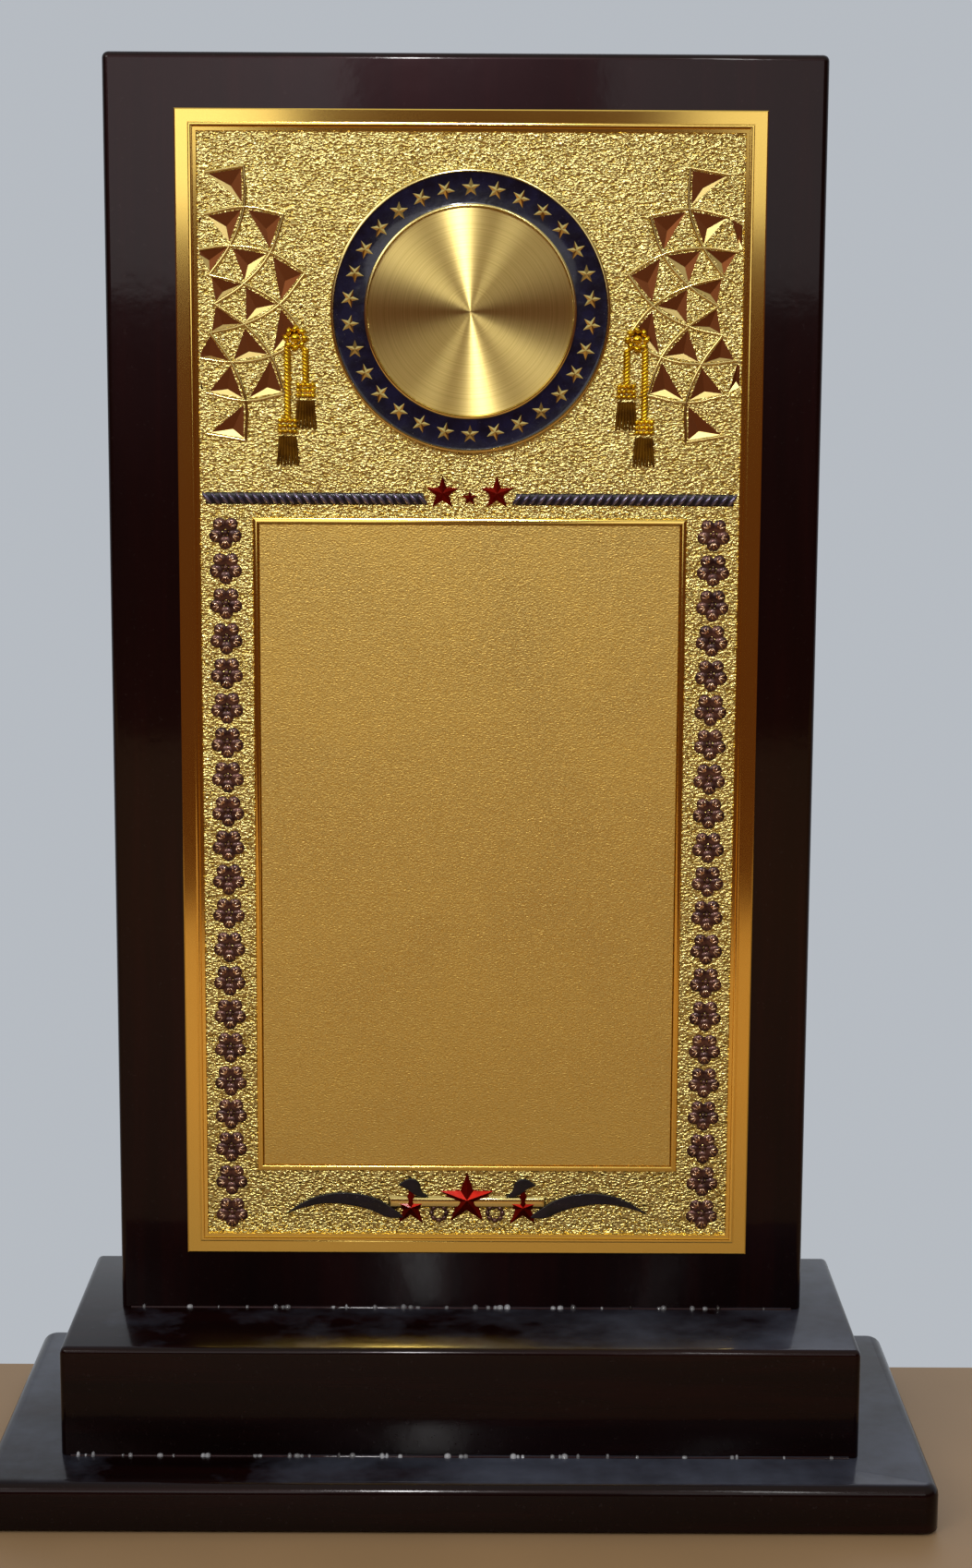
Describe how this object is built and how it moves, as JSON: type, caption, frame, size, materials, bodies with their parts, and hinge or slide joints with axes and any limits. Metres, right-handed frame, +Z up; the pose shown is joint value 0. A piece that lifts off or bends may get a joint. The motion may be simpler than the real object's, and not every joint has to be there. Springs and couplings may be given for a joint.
{
  "type": "two-tier wooden award plaque",
  "caption": "Tall gloss-lacquered wooden award board on a two-tier base, with a gold relief plate, star-ring medallion, blank inscription panel and enamelled ornament.",
  "frame": {"origin": "middle of the underside, on the surface that the plaque stands on", "axes": "+Z up along the board's height, X across the width, the decorated face looks along -Y"},
  "size_m": [0.238, 0.108, 0.3613],
  "materials": {
    "lacquered_wood": "near-black maroon wood under high-gloss lacquer",
    "felt": "short black felt",
    "screw_steel": "zinc-plated wood screw",
    "gold_plate": "die-struck brass sheet with a hammered field and polished border, gold plated",
    "foam_tape": "double-sided foam tape",
    "satin_gold": "satin gold sheet, blank",
    "adhesive_film": "transfer adhesive film",
    "spun_gold": "gold sheet with circular spun brushing",
    "gold_ring": "polished gold-plated stamping",
    "navy_enamel": "navy epoxy enamel",
    "plum_lacquer": "dark plum translucent lacquer over struck relief",
    "rope_enamel": "dark blue-violet lacquer over struck relief",
    "red_enamel": "deep red enamel over a faceted star",
    "navy_lacquer": "near-black navy lacquer",
    "yellow_gold": "bright yellow gold lacquer over struck relief",
    "brown_lacquer": "brown lacquer over struck relief"
  },
  "bodies": {
    "root": {"backing_board": "lacquered_wood", "base_block": "lacquered_wood", "base_plinth": "lacquered_wood", "base_felt": "felt", "board_screws": "screw_steel", "plinth_screws": "screw_steel", "award_plate": "gold_plate", "plate_tape": "foam_tape", "inscription_panel": "satin_gold", "panel_film": "adhesive_film", "medallion_disc": "spun_gold", "disc_film": "adhesive_film", "medallion_ring": "gold_ring", "ring_enamel": "navy_enamel", "rosettes_left": "plum_lacquer", "rosettes_right": "plum_lacquer", "rope_left": "rope_enamel", "rope_right": "rope_enamel", "divider_stars": "red_enamel", "emblem_stars": "red_enamel", "emblem_ribbons": "navy_lacquer", "tassel_left": "yellow_gold", "tassel_right": "yellow_gold", "tassel_skirts": "brown_lacquer"}
  },
  "joints": []
}
